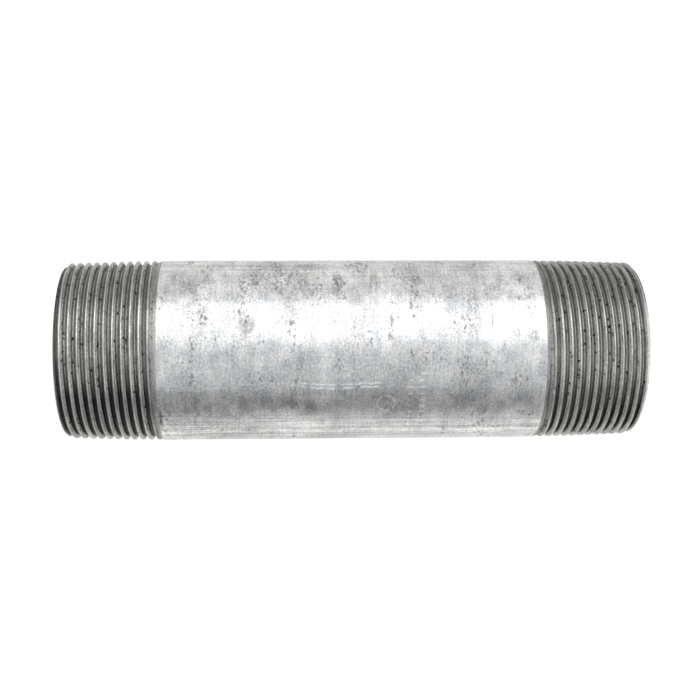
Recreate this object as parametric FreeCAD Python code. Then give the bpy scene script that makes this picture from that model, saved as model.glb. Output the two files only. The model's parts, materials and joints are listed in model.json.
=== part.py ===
"""A galvanised steel pipe nipple: nominal 1 1/2 inch pipe, 6 inches long, with a taper thread on each end.

The pipe lies along X with its middle at the origin. It is rolled and welded from strip, so a trimmed weld
bead runs along the bore. It was dipped in zinc and then threaded, so the zinc is left on the barrel between
the threads and in the bore, and the threads and the end faces are bare steel.
"""

import FreeCAD
import Part
import math
import os

# Driving dimensions, in millimetres. The pipe's diameter and wall are those of the bare steel.
LENGTH = 152.4
PIPE_DIAMETER = 48.26
WALL = 3.68
ZINC = 0.08

# The taper thread: 11 1/2 threads to the inch, 60 degree flanks, 1 in 16 on the diameter.
THREADS_PER_INCH = 11.5
FLANK_HALF_ANGLE = math.radians(30.0)
TAPER_ON_RADIUS = 1.0 / 32.0
PITCH_DIAMETER_AT_END = 45.621
CREST_FLAT_SHARE = 0.12
ROOT_FLAT_SHARE = 0.08

# The die's throat: the cone that the last grooves' bottoms rise along, out of the pipe, until they leave only
# a narrow rim uncut. The die also skims the crests there, just enough to take the zinc off them, and the skim
# grows shallower towards the barrel.
THROAT_ANGLE = math.radians(20.0)
RIM_WIDTH = 0.1
SKIM_SLOPE = 0.006

# How far each thread reaches in from its end of the pipe, and how far it is turned about the pipe's axis.
LEFT_THREAD_LENGTH = 25.8
RIGHT_THREAD_LENGTH = 27.1
LEFT_THREAD_TURN = 50.0
RIGHT_THREAD_TURN = 130.0

# The ends of the pipe, and the weld bead along the bore.
END_FACE_RADIUS = 22.5
OUTER_CHAMFER_ANGLE = math.radians(45.0)
REAM_DEPTH = 0.7
REAM_WIDTH = 0.5
BEAD_WIDTH = 2.4
BEAD_HEIGHT = 0.18
BEAD_ANGLE = math.radians(155.0)
BEAD_FLATS = 6

# How the groove cutter is built.
DEGREES_PER_POINT = 12
DEGREES_PER_FACE = 180
RUN_IN_TURNS = 1.3
CUTTER_CLEARANCE = 0.13
EXIT_CLEARANCE = 0.1
SEWING_TOLERANCE = 1e-5

# Worked out from the dimensions above.
PITCH = 25.4 / THREADS_PER_INCH
HALF_LENGTH = LENGTH / 2.0
STEEL_RADIUS = PIPE_DIAMETER / 2.0
ZINC_RADIUS = STEEL_RADIUS + ZINC
STEEL_BORE_RADIUS = STEEL_RADIUS - WALL
BORE_RADIUS = STEEL_BORE_RADIUS - ZINC
ADDENDUM = (0.5 - CREST_FLAT_SHARE) * PITCH / 2.0 / math.tan(FLANK_HALF_ANGLE)
DEDENDUM = (0.5 - ROOT_FLAT_SHARE) * PITCH / 2.0 / math.tan(FLANK_HALF_ANGLE)

ORIGIN = FreeCAD.Vector(0, 0, 0)
AXIS = FreeCAD.Vector(1, 0, 0)
UP = FreeCAD.Vector(0, 0, 1)


def pitch_radius(depth):
    """The radius of the thread's pitch line, this far in from the end face."""
    return PITCH_DIAMETER_AT_END / 2.0 + depth * TAPER_ON_RADIUS


def turned(points):
    """The solid that a closed outline of (x, radius) points makes, turned about the pipe's axis."""
    corners = [FreeCAD.Vector(x, radius, 0) for x, radius in points]
    outline = Part.makePolygon(corners + corners[:1])
    return Part.Face(outline).revolve(ORIGIN, AXIS, 360)


def blank_end(thread_length):
    """The outline of one end of the unthreaded pipe, as (depth, radius) from the bore out to the barrel."""
    crest = pitch_radius(0.0) + ADDENDUM
    chamfer = (crest - END_FACE_RADIUS) / (math.tan(OUTER_CHAMFER_ANGLE) - TAPER_ON_RADIUS)
    skim = STEEL_RADIUS - thread_length * SKIM_SLOPE
    taper_end = (skim - crest) / (TAPER_ON_RADIUS - SKIM_SLOPE)
    return [
        (REAM_DEPTH, STEEL_BORE_RADIUS),
        (0.0, STEEL_BORE_RADIUS + REAM_WIDTH),
        (0.0, END_FACE_RADIUS),
        (chamfer, crest + chamfer * TAPER_ON_RADIUS),
        (taper_end, crest + taper_end * TAPER_ON_RADIUS),
        (thread_length, STEEL_RADIUS),
    ]


def pipe_blank():
    """The steel pipe cut to length, reamed and chamfered, with its ends turned to the thread's taper."""
    left = [(depth - HALF_LENGTH, radius) for depth, radius in blank_end(LEFT_THREAD_LENGTH)]
    right = [(HALF_LENGTH - depth, radius) for depth, radius in blank_end(RIGHT_THREAD_LENGTH)]
    return turned(left + right[::-1])


def groove_corners(turns, thread_length):
    """The groove's four corners as (depth, radius), this many turns in from where the cutter starts.

    The bottom follows the taper until it meets the throat's cone, and then rises along the cone while the
    flanks stay where they are.
    """
    middle = (turns - RUN_IN_TURNS) * PITCH
    root = pitch_radius(middle) - DEDENDUM
    flank = math.tan(FLANK_HALF_ANGLE)
    throat = math.tan(THROAT_ANGLE)
    half_root = ROOT_FLAT_SHARE * PITCH / 2.0
    height = ADDENDUM + DEDENDUM + CUTTER_CLEARANCE
    bottom = []
    for side in (-1, 1):
        foot = middle + side * half_root
        cone = STEEL_RADIUS - (thread_length - RIM_WIDTH - foot) * throat
        lift = (cone - root) / (1.0 - side * flank * throat)
        lift = min(max(0.0, lift), height - EXIT_CLEARANCE)
        bottom.append((foot + side * lift * flank, root + lift))
    half_mouth = half_root + height * flank
    return bottom + [(middle + half_mouth, root + height), (middle - half_mouth, root + height)]


def groove_points(turns, thread_length):
    """The groove's four corners in space, on the right hand end, for a right hand thread."""
    angle = 2.0 * math.pi * turns
    return [
        FreeCAD.Vector(HALF_LENGTH - depth, radius * math.cos(angle), -radius * math.sin(angle))
        for depth, radius in groove_corners(turns, thread_length)
    ]


def through(points):
    """One smooth edge through these points."""
    curve = Part.BSplineCurve()
    curve.interpolate(points)
    return curve.toShape()


def cutter_stops(thread_length):
    """The turns at which one stretch of the cutter's faces ends and the next begins.

    The cutter ends where all of it stands clear of the pipe.
    """
    flank = math.tan(FLANK_HALF_ANGLE)
    full_depth = STEEL_RADIUS - pitch_radius(thread_length) + DEDENDUM
    exit_depth = thread_length + ROOT_FLAT_SHARE * PITCH / 2.0 + full_depth * flank + EXIT_CLEARANCE
    total = RUN_IN_TURNS + exit_depth / PITCH
    count = math.ceil(total * 360.0 / DEGREES_PER_FACE)
    return [total * i / count for i in range(count + 1)]


def groove_cutter(thread_length):
    """The solid that cuts a thread on the right hand end: four ruled faces wound round the taper."""
    stops = cutter_stops(thread_length)
    faces = []
    for start, end in zip(stops[:-1], stops[1:]):
        count = round((end - start) * 360.0 / DEGREES_PER_POINT)
        rings = [
            groove_points(start + (end - start) * i / count, thread_length) for i in range(count + 1)
        ]
        edges = [through([ring[corner] for ring in rings]) for corner in range(4)]
        faces += [Part.makeRuledSurface(edges[i], edges[(i + 1) % 4]) for i in range(4)]
    for turns in (stops[0], stops[-1]):
        corners = groove_points(turns, thread_length)
        faces.append(Part.Face(Part.makePolygon(corners + corners[:1])))
    shell = Part.makeShell(faces)
    shell.sewShape(SEWING_TOLERANCE)
    solid = Part.Solid(shell if shell.ShapeType == "Shell" else shell.Shells[0])
    if solid.Volume < 0:
        solid.reverse()
    return solid


def thread_cutters():
    """The cutter for each end, the left hand end's being turned end for end."""
    right = groove_cutter(RIGHT_THREAD_LENGTH)
    right.rotate(ORIGIN, AXIS, RIGHT_THREAD_TURN)
    left = groove_cutter(LEFT_THREAD_LENGTH)
    left.rotate(ORIGIN, UP, 180)
    left.rotate(ORIGIN, AXIS, LEFT_THREAD_TURN)
    return [right, left]


def steel_pipe():
    """The pipe wall with both threads cut, as one solid."""
    pipe = pipe_blank()
    for cutter in thread_cutters():
        pipe = pipe.cut(cutter)
    return pipe.Solids[0]


def tube(inner, outer, left, right):
    """A plain tube about the pipe's axis, from x = left to x = right."""
    return turned([(left, inner), (left, outer), (right, outer), (right, inner)])


def barrel_zinc():
    """The zinc on the outside of the barrel, between the threads."""
    left = LEFT_THREAD_LENGTH - HALF_LENGTH
    right = HALF_LENGTH - RIGHT_THREAD_LENGTH
    return tube(STEEL_RADIUS, ZINC_RADIUS, left, right)


def bead_bar(height, width):
    """A long bar that stands on the bore at the seam. Its top is a low arch, trimmed in flats."""
    half_length = HALF_LENGTH - REAM_DEPTH
    half_angle = width / 2.0 / STEEL_BORE_RADIUS

    def at(share, rise):
        turn = BEAD_ANGLE + share * half_angle
        radius = STEEL_BORE_RADIUS - rise
        return FreeCAD.Vector(-half_length, radius * math.cos(turn), radius * math.sin(turn))

    shares = [2.0 * i / BEAD_FLATS - 1.0 for i in range(BEAD_FLATS + 1)]
    edges = []
    for start, end in zip(shares[:-1], shares[1:]):
        edges.append(Part.Arc(at(start, 0), at((start + end) / 2.0, 0), at(end, 0)).toShape())
    for start, end in zip(shares[:0:-1], shares[-2::-1]):
        rise_at_start = height * (1.0 - start**2)
        rise_at_end = height * (1.0 - end**2)
        edges.append(Part.makeLine(at(start, rise_at_start), at(end, rise_at_end)))
    return Part.Face(Part.Wire(edges)).extrude(AXIS * 2.0 * half_length)


def weld_bead():
    """What is left of the weld inside the pipe, after it was trimmed."""
    return bead_bar(BEAD_HEIGHT, BEAD_WIDTH)


def bore_zinc():
    """The zinc inside the pipe, which covers the bore and the weld bead alike."""
    half_length = HALF_LENGTH - REAM_DEPTH
    ring = tube(BORE_RADIUS, STEEL_BORE_RADIUS, -half_length, half_length)
    covered_bead = bead_bar(BEAD_HEIGHT + ZINC, BEAD_WIDTH + 2.0 * ZINC)
    return ring.fuse(covered_bead).removeSplitter().cut(weld_bead()).Solids[0]


def main():
    """Writes each sub-part to its own STEP file, and prints what it measures."""
    parts = {
        "steel_pipe": steel_pipe(),
        "weld_bead": weld_bead(),
        "barrel_zinc": barrel_zinc(),
        "bore_zinc": bore_zinc(),
    }
    os.makedirs("parts", exist_ok=True)
    for name, shape in parts.items():
        shape.exportStep(f"parts/{name}.step")
        print(f"{name}: valid {shape.isValid()}, {len(shape.Solids)} solid, {shape.Volume:.1f} mm3")


main()
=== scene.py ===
"""A galvanised steel pipe nipple, lying on a pale sheet under soft light and seen from straight above.

The pipe lies along X. Each class below builds one piece of it as a closed mesh and gives it its finish.
Sizes are in millimetres until a mesh is made. Angles about the pipe's axis run from +Y, through +Z at 90
degrees, which faces the camera, to -Y at 180 degrees.
"""

import functools
import itertools
import json
import logging
import math
from dataclasses import dataclass, field
from enum import Enum
from typing import Sequence, Union

import bmesh
import bpy
import numpy as np
from mathutils import Matrix, Vector


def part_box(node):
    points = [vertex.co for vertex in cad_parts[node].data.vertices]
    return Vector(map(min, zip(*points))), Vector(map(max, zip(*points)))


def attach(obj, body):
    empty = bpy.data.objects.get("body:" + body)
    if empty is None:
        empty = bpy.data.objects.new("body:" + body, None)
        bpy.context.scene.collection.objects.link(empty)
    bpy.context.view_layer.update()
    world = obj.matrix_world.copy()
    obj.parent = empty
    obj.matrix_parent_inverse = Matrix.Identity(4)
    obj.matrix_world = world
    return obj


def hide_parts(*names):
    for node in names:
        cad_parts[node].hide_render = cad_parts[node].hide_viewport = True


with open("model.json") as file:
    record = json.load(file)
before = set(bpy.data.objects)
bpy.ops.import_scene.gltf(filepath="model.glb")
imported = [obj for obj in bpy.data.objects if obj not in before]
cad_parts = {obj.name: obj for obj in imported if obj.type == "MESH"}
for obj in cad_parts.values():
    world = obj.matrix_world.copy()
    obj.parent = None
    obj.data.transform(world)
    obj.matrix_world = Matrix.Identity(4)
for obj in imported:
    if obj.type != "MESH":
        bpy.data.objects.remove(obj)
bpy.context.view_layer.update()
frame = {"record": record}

LOG = logging.getLogger("nipple")
MM = 0.001
FULL_TURN = 2.0 * math.pi

Triple = tuple[float, float, float]
Colour = tuple[float, float, float, float]
Socket = bpy.types.NodeSocket
Feed = Union[float, Sequence[float], Socket]
Feeds = dict[Union[str, int], Feed]
Numbers = Union[float, np.ndarray]


class End(Enum):
    """The pipe's two ends, each valued by the way that it points along X."""

    LEFT = -1
    RIGHT = 1


class Coat(Enum):
    """The names of the record's material slots."""

    CUT_STEEL = "cut_steel"
    WELD_STEEL = "weld_steel"
    ZINC_OUTSIDE = "zinc_outside"
    ZINC_INSIDE = "zinc_inside"


# -------------------- sizes


@dataclass(frozen=True)
class Stock:
    """The pipe's own sizes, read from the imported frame."""

    half_length: float
    outer_radius: float
    steel_radius: float
    bore_radius: float
    steel_bore_radius: float
    barrel_left: float
    barrel_right: float
    bore_half_length: float

    @classmethod
    def from_frame(cls) -> "Stock":
        """Measures the stock.

        Returns:
            The sizes in millimetres, from the nodes' boxes and the record's mounts.
        """
        _, pipe_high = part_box("steel_pipe")
        coat_low, coat_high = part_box("barrel_zinc")
        _, lining_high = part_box("bore_zinc")
        mounts = {mount["name"]: mount for mount in frame["record"]["mounts"]}
        return cls(
            half_length=pipe_high[0] / MM,
            outer_radius=coat_high[2] / MM,
            steel_radius=pipe_high[2] / MM,
            bore_radius=mounts["bore"]["dims"]["r_mm"],
            steel_bore_radius=mounts["bore"]["dims"]["r_mm"] + (coat_high[2] - pipe_high[2]) / MM,
            barrel_left=coat_low[0] / MM,
            barrel_right=coat_high[0] / MM,
            bore_half_length=lining_high[0] / MM,
        )


# -------------------- rough surfaces


def hashed(cells: np.ndarray, seed: int) -> np.ndarray:
    """Gives every whole-numbered cell its own fixed value.

    Args:
        cells: An integer array whose last axis is x, y, z.
        seed: Which family of values to give.

    Returns:
        One value from -1 to 1 for each cell.
    """
    mixed = (cells * np.array([73856093, 19349663, 83492791])).sum(axis=-1) + seed * 2654435761
    mixed = (mixed ^ (mixed >> 13)) * 1274126177
    mixed = mixed ^ (mixed >> 16)
    return (mixed & 0xFFFF) / 32767.5 - 1.0


def ripple(points: np.ndarray, wavelength: Sequence[float], seed: int) -> np.ndarray:
    """Smooth, random waves through space.

    Args:
        points: An array whose last axis is x, y, z, in millimetres.
        wavelength: The size of one wave along x, y and z, in millimetres.
        seed: Which set of waves.

    Returns:
        One value from -1 to 1 for each point.
    """
    scaled = points / np.asarray(wavelength, dtype=float)
    cell = np.floor(scaled).astype(np.int64)
    part = scaled - cell
    part = part * part * (3.0 - 2.0 * part)
    total = np.zeros(points.shape[:-1])
    for corner in itertools.product((0, 1), repeat=3):
        weight = np.prod(np.where(corner, part, 1.0 - part), axis=-1)
        total += weight * hashed(cell + np.array(corner), seed)
    return total


def smooth_lower(first: np.ndarray, second: np.ndarray, blend: np.ndarray) -> np.ndarray:
    """The lower of two heights, with the corner between them rounded.

    Args:
        first: One surface's heights.
        second: The other surface's heights.
        blend: How wide the rounding is, in the same units as the heights.

    Returns:
        The rounded lower envelope.
    """
    share = np.clip(0.5 + 0.5 * (second - first) / blend, 0.0, 1.0)
    return second + (first - second) * share - blend * share * (1.0 - share)


def around(angle: np.ndarray, middle_degrees: float) -> np.ndarray:
    """How far each angle is from the middle one, the short way round.

    Args:
        angle: Angles about the pipe's axis, in radians.
        middle_degrees: The angle to measure from, in degrees.

    Returns:
        Differences from -pi to pi.
    """
    return (angle - math.radians(middle_degrees) + math.pi) % FULL_TURN - math.pi


def spots(along: Numbers, angle: np.ndarray, radius: Numbers) -> np.ndarray:
    """The x, y and z of places given along and about the pipe's axis, on a new last axis."""
    return np.stack(np.broadcast_arrays(along, radius * np.cos(angle), radius * np.sin(angle)), axis=-1)


@dataclass(frozen=True)
class Knock:
    """A small dent, or with a negative depth a burr, at one place on a round surface."""

    along: float
    degrees: float
    long: float
    wide: float
    deep: float

    def lowering(self, along: np.ndarray, angle: np.ndarray, radius: float) -> np.ndarray:
        """How much the knock lowers the surface.

        Args:
            along: Distances along the axis, in millimetres.
            angle: Angles about the axis, in radians.
            radius: The surface's radius.

        Returns:
            The lowering at each point, in millimetres.
        """
        across = around(angle, self.degrees) * radius
        reach = ((along - self.along) / self.long) ** 2 + (across / self.wide) ** 2
        return self.deep * np.exp(-reach)


# -------------------- mesh making


@dataclass
class Shell:
    """A mesh in the making: points about the pipe's axis, faces, and values painted on the points."""

    along: list[np.ndarray] = field(default_factory=list)
    angle: list[np.ndarray] = field(default_factory=list)
    radius: list[np.ndarray] = field(default_factory=list)
    faces: list[tuple[int, ...]] = field(default_factory=list)
    paint: list[dict[str, np.ndarray]] = field(default_factory=list)
    count: int = 0

    def add(self, along: Numbers, angle: np.ndarray, radius: Numbers, **paint: np.ndarray) -> np.ndarray:
        """Adds points.

        Args:
            along: Distances along the axis, in millimetres.
            angle: Angles about the axis, in radians.
            radius: Distances from the axis, in millimetres.
            **paint: The values painted on the points, by the layer's name.

        Returns:
            The new points' numbers, in the shape of the inputs.
        """
        along, angle, radius = np.broadcast_arrays(along, angle, radius)
        self.along.append(along.ravel())
        self.angle.append(angle.ravel())
        self.radius.append(radius.ravel())
        self.paint.append({name: np.broadcast_to(v, along.shape).ravel() for name, v in paint.items()})
        numbers = self.count + np.arange(along.size).reshape(along.shape)
        self.count += along.size
        return numbers

    def join_rings(self, first: np.ndarray, second: np.ndarray) -> None:
        """Bridges two closed rings of points with faces.

        Args:
            first: One ring's point numbers.
            second: The next ring's point numbers, station for station.
        """
        after_first = np.roll(first, -1)
        after_second = np.roll(second, -1)
        self.faces += list(zip(first, after_first, after_second, second))

    def join_round(self, rings: Sequence[np.ndarray]) -> None:
        """Bridges each ring to the next, and the last one to the first."""
        for here, there in itertools.pairwise([*rings, rings[0]]):
            self.join_rings(here, there)

    def build(self, name: str) -> bpy.types.Object:
        """Makes the Blender object, smooth but for its real corners.

        Args:
            name: The piece's name.

        Returns:
            The object, linked to the scene.
        """
        along, angle, radius = (np.concatenate(part) for part in (self.along, self.angle, self.radius))
        points = spots(along * MM, angle, radius * MM)
        mesh = bpy.data.meshes.new(name)
        mesh.from_pydata(points.tolist(), [], [tuple(int(i) for i in face) for face in self.faces])
        for layer_name in sorted({name for block in self.paint for name in block}):
            blocks = [
                block.get(layer_name, np.zeros(len(radii))) for block, radii in zip(self.paint, self.radius)
            ]
            layer = mesh.attributes.new(layer_name, "FLOAT", "POINT")
            layer.data.foreach_set("value", np.concatenate(blocks).astype(np.float32))
        work = bmesh.new()
        work.from_mesh(mesh)
        bmesh.ops.remove_doubles(work, verts=work.verts, dist=1e-7)
        bmesh.ops.dissolve_degenerate(work, edges=work.edges, dist=1e-7)
        bmesh.ops.recalc_face_normals(work, faces=work.faces)
        work.to_mesh(mesh)
        work.free()
        mesh.shade_smooth()
        mesh.set_sharp_from_angle(angle=math.radians(38.0))
        piece = bpy.data.objects.new(name, mesh)
        bpy.context.scene.collection.objects.link(piece)
        return piece


def stations(count: int) -> np.ndarray:
    """Evenly spaced angles round the pipe, in radians."""
    return np.arange(count) * FULL_TURN / count


def settle(piece: bpy.types.Object, node: str, coat: Coat, finish: bpy.types.Material) -> None:
    """Puts a finished piece in its CAD node's place and reports it.

    Args:
        piece: The new piece.
        node: The CAD node that it stands for.
        coat: The record's slot that the finish belongs to; not used.
        finish: The material.
    """
    piece.data.materials.append(finish)
    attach(piece, "root")
    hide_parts(node)
    LOG.info("%s: %d faces, finish %s", piece.name, len(piece.data.polygons), finish.name)


# -------------------- finishes


class Wiring:
    """A tree of shader nodes, wired one step at a time."""

    def __init__(self, tree: bpy.types.NodeTree) -> None:
        """Starts with an empty tree."""
        self.tree = tree
        self.tree.nodes.clear()

    def feed(self, socket: Socket, value: Feed) -> None:
        """Links a socket, or sets its value.

        Args:
            socket: The input.
            value: Another node's output, or a constant.
        """
        if isinstance(value, bpy.types.NodeSocket):
            self.tree.links.new(value, socket)
        else:
            socket.default_value = value

    def node(self, kind: str, feeds: Feeds, **settings: Union[str, bool]) -> bpy.types.Node:
        """Adds one node.

        Args:
            kind: Its kind, without the words that every kind starts with.
            feeds: What goes into its inputs, by name or number.
            **settings: The node's own settings.

        Returns:
            The node.
        """
        node = self.tree.nodes.new("ShaderNode" + kind)
        for name, setting in settings.items():
            setattr(node, name, setting)
        for name, value in feeds.items():
            self.feed(node.inputs[name], value)
        return node

    def math(self, kind: str, *numbers: Feed, clamp: bool = False) -> Socket:
        """One step of arithmetic, by the Math node's own name for it."""
        return self.node("Math", dict(enumerate(numbers)), operation=kind, use_clamp=clamp).outputs[0]

    def add(self, *terms: Feed) -> Socket:
        """The sum of all the terms."""
        return functools.reduce(lambda first, second: self.math("ADD", first, second), terms)

    def times(self, *factors: Feed) -> Socket:
        """The product of all the factors."""
        return functools.reduce(lambda first, second: self.math("MULTIPLY", first, second), factors)

    def less(self, first: Feed, second: Feed) -> Socket:
        """The first number less the second."""
        return self.math("SUBTRACT", first, second)


class Recipe(Wiring):
    """A material in the making. Its patterns lie in cells, so many to the metre along x, y and z."""

    def __init__(self, name: str) -> None:
        """Starts a material of this name that holds one Principled shader."""
        self.material = bpy.data.materials.new(name)
        self.material.use_nodes = True
        super().__init__(self.material.node_tree)
        self.shader = self.node("BsdfPrincipled", {})
        self.node("OutputMaterial", {"Surface": self.shader.outputs["BSDF"]})
        self.place = self.node("TexCoord", {}).outputs["Object"]

    def dress(self, feeds: Feeds) -> bpy.types.Material:
        """Feeds the shader.

        Args:
            feeds: What goes into its inputs, by name.

        Returns:
            The finished material.
        """
        for name, value in feeds.items():
            self.feed(self.shader.inputs[name], value)
        return self.material

    @functools.cached_property
    def axes(self) -> tuple[Socket, Socket, Socket]:
        """The surface's place as three numbers, in metres."""
        outputs = self.node("SeparateXYZ", {0: self.place}).outputs
        return outputs[0], outputs[1], outputs[2]

    @functools.cached_property
    def turn(self) -> Socket:
        """The angle about the pipe's axis, from -pi to pi, from the top of the pipe towards -Y."""
        _, y, z = self.axes
        return self.math("ARCTAN2", self.times(y, -1.0), z)

    def cells(self, scale: Triple, shift: Triple = (0.0, 0.0, 0.0)) -> Socket:
        """The surface's place, counted in cells."""
        feeds = {"Vector": self.place, "Scale": scale, "Location": shift}
        return self.node("Mapping", feeds).outputs["Vector"]

    def noise(
        self, scale: Triple, shift: Triple = (0.0, 0.0, 0.0), detail: float = 2.0, rough: float = 0.5
    ) -> Socket:
        """Cloudy noise.

        Args:
            scale: Its cells to the metre.
            shift: Where the pattern starts.
            detail: How many finer layers it has.
            rough: How strong the finer layers are.

        Returns:
            The noise, from 0 to 1.
        """
        feeds = {"Vector": self.cells(scale, shift), "Scale": 1.0, "Detail": detail, "Roughness": rough}
        return self.node("TexNoise", feeds).outputs["Fac"]

    def grains(self, scale: Triple) -> tuple[Socket, Socket]:
        """Scattered grains.

        Args:
            scale: Their number to the metre.

        Returns:
            The distance from each grain's middle, and the grain's own random colour.
        """
        feeds = {"Vector": self.cells(scale), "Scale": 1.0, "Randomness": 1.0}
        outputs = self.node("TexVoronoi", feeds).outputs
        return outputs["Distance"], outputs["Color"]

    def span(self, value: Feed, low: float, high: float, start: float = 0.0, end: float = 1.0) -> Socket:
        """Maps values from low to high smoothly on to start to end, and holds them beyond."""
        feeds = {"Value": value, "From Min": low, "From Max": high, "To Min": start, "To Max": end}
        return self.node("MapRange", feeds, interpolation_type="SMOOTHSTEP").outputs["Result"]

    def line(self, across: Socket, middle: float, half: float) -> Socket:
        """1 on a soft-edged line that runs at the middle and is twice the half wide, 0 off it."""
        off = self.math("ABSOLUTE", self.less(across, middle))
        return self.span(off, half * 1.5, half * 0.5)

    def painted(self, name: str) -> Socket:
        """A value painted on the mesh's points."""
        return self.node("Attribute", {}, attribute_name=name).outputs["Fac"]

    def toned(self, share: Socket, under: Feed, over: Feed) -> Socket:
        """Mixes two colours, with this much of the second."""
        return self.node("Mix", {0: share, 6: under, 7: over}, data_type="RGBA").outputs[2]

    def shaded(self, colour: Socket, tone: Feed) -> Socket:
        """Brightens or darkens a colour."""
        return self.node("VectorMath", {0: colour, "Scale": tone}, operation="SCALE").outputs[0]

    def relief(self, *layers: tuple[Socket, float]) -> Socket:
        """Turns heights into bumps that lie on each other.

        Args:
            *layers: Each one's height, from 0 to 1, and how far that stands out, in metres.

        Returns:
            The bumped normal.
        """
        under: Feeds = {}
        for height, depth in layers:
            bump = self.node("Bump", {"Distance": depth, "Strength": 1.0, "Height": height, **under})
            under = {"Normal": bump.outputs["Normal"]}
        return under["Normal"]


@dataclass(frozen=True)
class CutSteel:
    """Bare steel as the threading die leaves it.

    The flank facing the barrel is painted light, and the end-facing flank and groove bottoms painted shade.
    On one side of the pipe the steel was torn rather than cut: both flanks there are rough, grey and pitted.
    That side faces the lamp, and the painted shade in its grooves is lighter than on the other side.
    """

    name: str = "bare_cut_steel"
    crest: Colour = (0.405, 0.40, 0.384, 1.0)
    # painted light: the lighter colour of the flank that faces the barrel
    painted_lit_flank: Colour = (0.52, 0.512, 0.488, 1.0)
    torn: Colour = (0.495, 0.486, 0.462, 1.0)
    # painted shade: dark grey deeper in the grooves and on the end-facing flank, on the torn side
    torn_groove_shade: Colour = (0.165, 0.161, 0.151, 1.0)
    torn_root: Colour = (0.46, 0.452, 0.43, 1.0)
    # painted shade: near-black for the end-facing flank and the bottom of each groove
    painted_groove_shade: Colour = (0.024, 0.0225, 0.021, 1.0)
    grime: Colour = (0.015, 0.013, 0.011, 1.0)

    def material(self) -> bpy.types.Material:
        """Wires the finish.

        Returns:
            The material.
        """
        mix = Recipe(self.name)
        depth, torn = mix.painted("depth"), mix.painted("torn")
        lines = mix.noise((7000.0, 90.0, 90.0), rough=0.6)
        swarf = mix.noise((900.0, 160.0, 160.0), (1.0, 6.0, 2.0), detail=3.0, rough=0.6)
        grain = mix.noise((3000.0, 1600.0, 1600.0), (3.0, 1.0, 7.0))
        # deep: how far down the groove the painted shade takes over from the painted light
        deep = mix.span(mix.add(depth, mix.span(swarf, 0.3, 0.7, -0.06, 0.06)), 0.42, 0.62)
        low = mix.span(mix.add(depth, mix.span(swarf, 0.3, 0.7, -0.12, 0.12)), 0.12, 0.3)
        clean = mix.toned(deep, self.painted_lit_flank, self.painted_groove_shade)
        # on the torn side, painted shade darkens the flank deeper in the groove, and the root is lighter
        # again
        rough = mix.toned(mix.span(depth, 0.35, 0.6), self.torn, self.torn_groove_shade)
        rough = mix.toned(mix.span(depth, 0.82, 0.94), rough, self.torn_root)
        inner = mix.toned(torn, clean, rough)
        # the end-facing flank is all painted shade: near-black on the clean side, dark grey on the torn side
        outer = mix.toned(torn, self.painted_groove_shade, self.torn_groove_shade)
        colour = mix.toned(low, self.crest, mix.toned(mix.painted("outward"), inner, outer))
        # tone adds painted light and shade by the angle round the pipe
        colour = mix.shaded(colour, self.tone(mix, grain, swarf))
        pits = mix.times(self.pits(mix), mix.span(depth, 0.1, 0.3))
        gloss = mix.add(mix.span(lines, 0.3, 0.7, 0.32, 0.44), mix.times(low, 0.08), mix.times(pits, 0.4))
        return mix.dress(
            {
                "Base Color": mix.toned(pits, colour, self.grime),
                "Metallic": mix.span(depth, 0.1, 0.35, 0.75, 0.4),
                "Roughness": gloss,
                "Normal": mix.relief((lines, 0.00001), (grain, 0.000012), (mix.less(1.0, pits), 0.00005)),
            }
        )

    def tone(self, mix: Recipe, grain: Socket, swarf: Socket) -> Socket:
        """How bright the steel is, as painted light and shade: brightest along the top, and darker down the
        far side than the near one.

        Args:
            mix: The material in the making.
            grain: Fine noise.
            swarf: Noise drawn out round the pipe.

        Returns:
            What to multiply its colour by.
        """
        uneven = mix.add(mix.span(grain, 0.25, 0.75, 0.75, 1.25), mix.span(swarf, 0.3, 0.7, -0.2, 0.2))
        # painted light along the top and painted shade down both sides, by the angle round the pipe
        middle = mix.span(mix.turn, -0.12, 0.05, 1.0, 1.14)
        near_side_painted_shade = mix.span(mix.turn, 0.3, 0.6, 1.0, 0.77)
        far_side_light_and_shade = mix.span(mix.turn, -0.25, -0.72, 1.14, 0.68)
        return mix.times(uneven, middle, near_side_painted_shade, far_side_light_and_shade, mix.less(1.0, mix.painted("dimmed")))

    def pits(self, mix: Recipe) -> Socket:
        """Dark pits, in patches, and thicker where the steel was torn.

        Args:
            mix: The material in the making.

        Returns:
            1 in a pit, 0 outside.
        """
        rim = mix.noise((2600.0, 2000.0, 2000.0), (2.0, 2.0, 5.0))
        spot, chance = mix.grains((1250.0, 850.0, 850.0))
        spot = mix.add(spot, mix.span(rim, 0.3, 0.7, -0.2, 0.2))
        patch = mix.noise((230.0, 150.0, 150.0), (5.0, 2.0, 9.0))
        rarity = mix.less(mix.span(patch, 0.42, 0.6, 0.985, 0.74), mix.times(mix.painted("torn"), 0.1))
        draw = mix.node("SeparateColor", {0: chance}).outputs[0]
        return mix.times(mix.span(spot, 0.44, 0.26), mix.math("GREATER_THAN", draw, rarity))


@dataclass(frozen=True)
class Smudge:
    """A dark mark on the zinc, at an angle from the pipe's top towards -Y. Its sizes are halves."""

    along: float
    degrees: float
    long: float
    wide: float
    dark: float


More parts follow.
